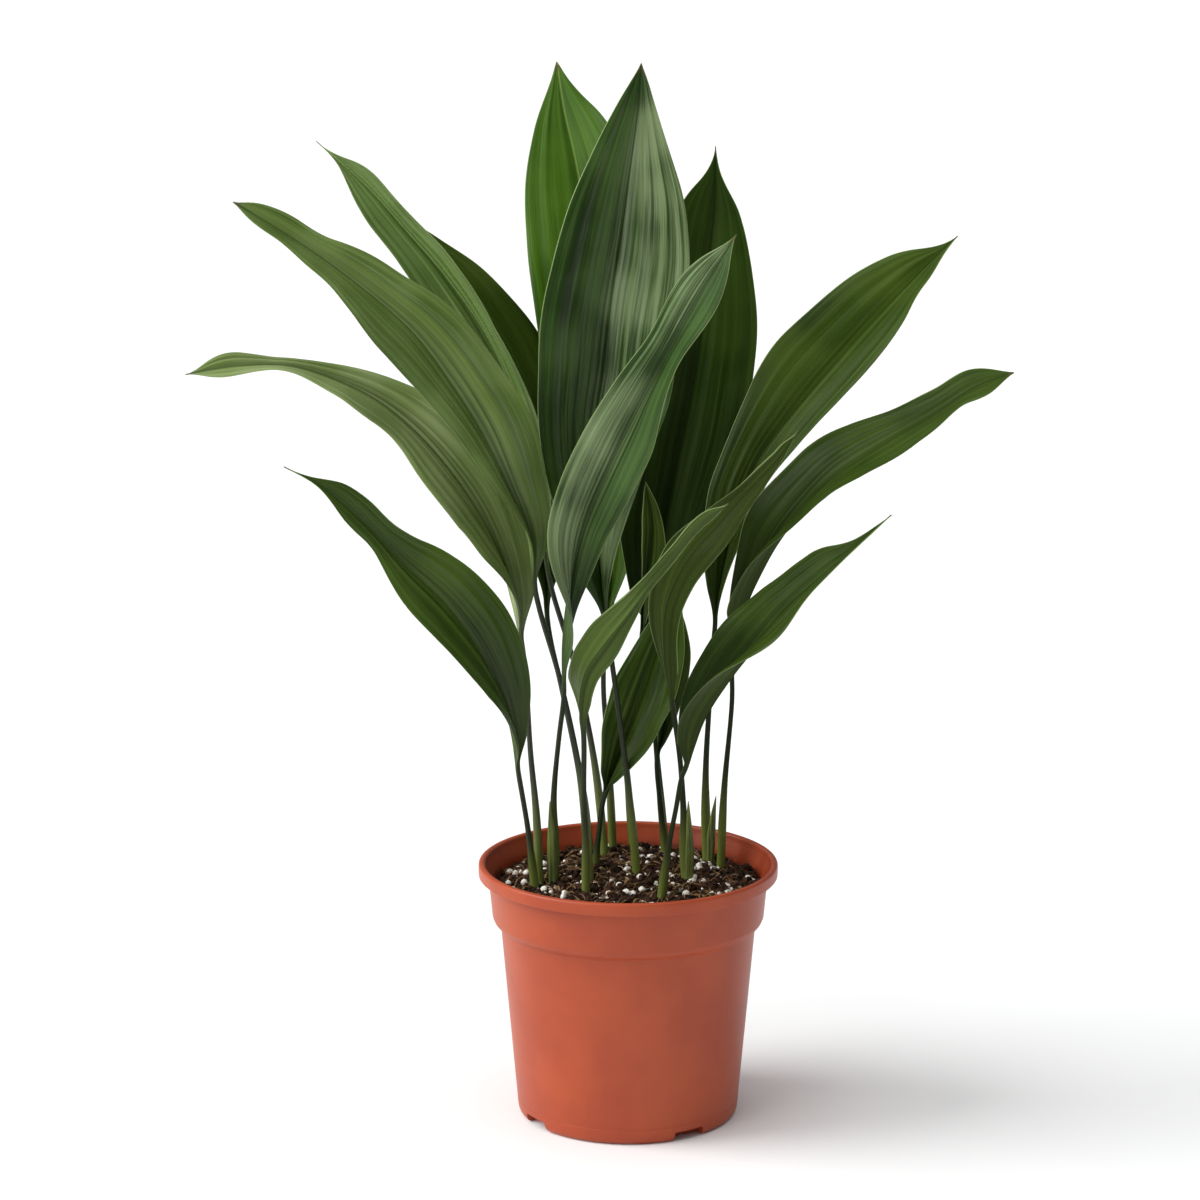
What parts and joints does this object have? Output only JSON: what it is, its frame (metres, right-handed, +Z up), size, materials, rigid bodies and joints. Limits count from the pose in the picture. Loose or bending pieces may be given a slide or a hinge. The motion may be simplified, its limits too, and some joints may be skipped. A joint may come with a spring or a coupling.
{
  "type": "potted cast iron plant",
  "caption": "Upright foliage houseplant with long dark green folded leaves on thin stalks, standing in soil in a terracotta-coloured plastic nursery pot.",
  "frame": {"origin": "centre of the pot's underside, on the plane that the pot stands on", "axes": "+Z up along the pot's axis, -Y towards the front, +X to the right seen from the front"},
  "size_m": [0.4543, 0.2268, 0.5921],
  "materials": {
    "pot": "satin moulded polypropylene, terracotta colour",
    "soil": "damp peat and bark potting mix",
    "leaf": "waxy ribbed leaf",
    "sheath": "dry papery leaf sheath"
  },
  "bodies": {
    "root": {"pot": "pot", "soil": "soil", "leaf_tall_middle": "leaf", "leaf_tall_back": "leaf", "leaf_upright_right": "leaf", "leaf_front_slanting": "leaf", "leaf_left_wide": "leaf", "leaf_left_arching": "leaf", "leaf_left_low": "leaf", "leaf_left_high": "leaf", "leaf_left_back": "leaf", "leaf_right_high": "leaf", "leaf_right_arching": "leaf", "leaf_right_low": "leaf", "leaf_right_narrow": "leaf", "leaf_front_short": "leaf", "leaf_inner_low": "leaf", "leaf_inner_young": "leaf", "leaf_inner_narrow": "leaf", "sheath_left": "sheath", "sheath_middle": "sheath", "sheath_right": "sheath"}
  },
  "joints": []
}
